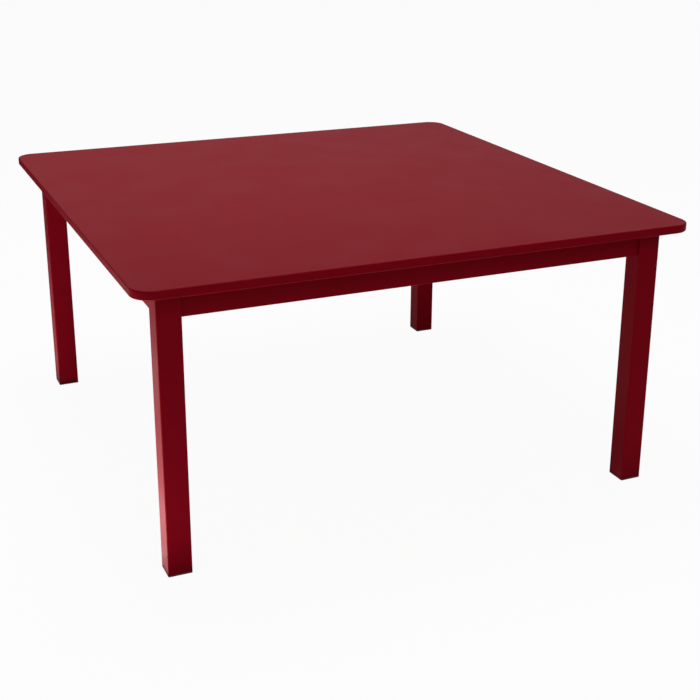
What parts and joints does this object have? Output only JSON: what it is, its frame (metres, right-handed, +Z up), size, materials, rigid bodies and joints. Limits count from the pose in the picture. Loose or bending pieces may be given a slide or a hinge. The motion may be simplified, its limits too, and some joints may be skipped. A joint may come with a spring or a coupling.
{
  "type": "garden table",
  "caption": "Square steel garden table with a folded sheet top with rounded corners, set-back rails, bolted square tube legs and screw levelling feet.",
  "frame": {"origin": "on the floor under the middle of the top", "axes": "+Z up, -Y is the front as pictured and -X the left; the stiffeners under the top run along Y"},
  "size_m": [1.465, 1.465, 0.74],
  "materials": {
    "red_powder_coat": "satin",
    "zinc_plated_steel": "satin",
    "black_plastic": "matte"
  },
  "bodies": {
    "table": {"back_left_foot_insert": "black_plastic", "back_left_leg": "red_powder_coat", "back_left_leg_cap": "red_powder_coat", "back_left_lug_on_back_rail": "red_powder_coat", "back_left_lug_on_left_rail": "red_powder_coat", "back_left_nut_plates": "zinc_plated_steel", "back_rail": "red_powder_coat", "back_rail_end_plates": "red_powder_coat", "back_right_foot_insert": "black_plastic", "back_right_leg": "red_powder_coat", "back_right_leg_cap": "red_powder_coat", "back_right_lug_on_back_rail": "red_powder_coat", "back_right_lug_on_right_rail": "red_powder_coat", "back_right_nut_plates": "zinc_plated_steel", "front_left_foot_insert": "black_plastic", "front_left_leg": "red_powder_coat", "front_left_leg_cap": "red_powder_coat", "front_left_lug_on_front_rail": "red_powder_coat", "front_left_lug_on_left_rail": "red_powder_coat", "front_left_nut_plates": "zinc_plated_steel", "front_rail": "red_powder_coat", "front_rail_end_plates": "red_powder_coat", "front_right_foot_insert": "black_plastic", "front_right_leg": "red_powder_coat", "front_right_leg_cap": "red_powder_coat", "front_right_lug_on_front_rail": "red_powder_coat", "front_right_lug_on_right_rail": "red_powder_coat", "front_right_nut_plates": "zinc_plated_steel", "left_rail": "red_powder_coat", "left_rail_end_plates": "red_powder_coat", "leg_bolts": "zinc_plated_steel", "leg_washers": "zinc_plated_steel", "right_rail": "red_powder_coat", "right_rail_end_plates": "red_powder_coat", "stiffener_1": "red_powder_coat", "stiffener_2": "red_powder_coat", "stiffener_3": "red_powder_coat", "stiffener_4": "red_powder_coat", "top_panel": "red_powder_coat"},
    "front_left_glide": {"front_left_glide_pad": "black_plastic", "front_left_glide_stem": "zinc_plated_steel"},
    "front_right_glide": {"front_right_glide_pad": "black_plastic", "front_right_glide_stem": "zinc_plated_steel"},
    "back_right_glide": {"back_right_glide_pad": "black_plastic", "back_right_glide_stem": "zinc_plated_steel"},
    "back_left_glide": {"back_left_glide_pad": "black_plastic", "back_left_glide_stem": "zinc_plated_steel"}
  },
  "joints": [
    {"name": "front_left_glide_screw", "type": "slide", "parent": "table", "child": "front_left_glide", "axis": [0, 0, -1], "range_m": [0, 0.012]},
    {"name": "front_right_glide_screw", "type": "slide", "parent": "table", "child": "front_right_glide", "axis": [0, 0, -1], "range_m": [0, 0.012]},
    {"name": "back_right_glide_screw", "type": "slide", "parent": "table", "child": "back_right_glide", "axis": [0, 0, -1], "range_m": [0, 0.012]},
    {"name": "back_left_glide_screw", "type": "slide", "parent": "table", "child": "back_left_glide", "axis": [0, 0, -1], "range_m": [0, 0.012]}
  ]
}
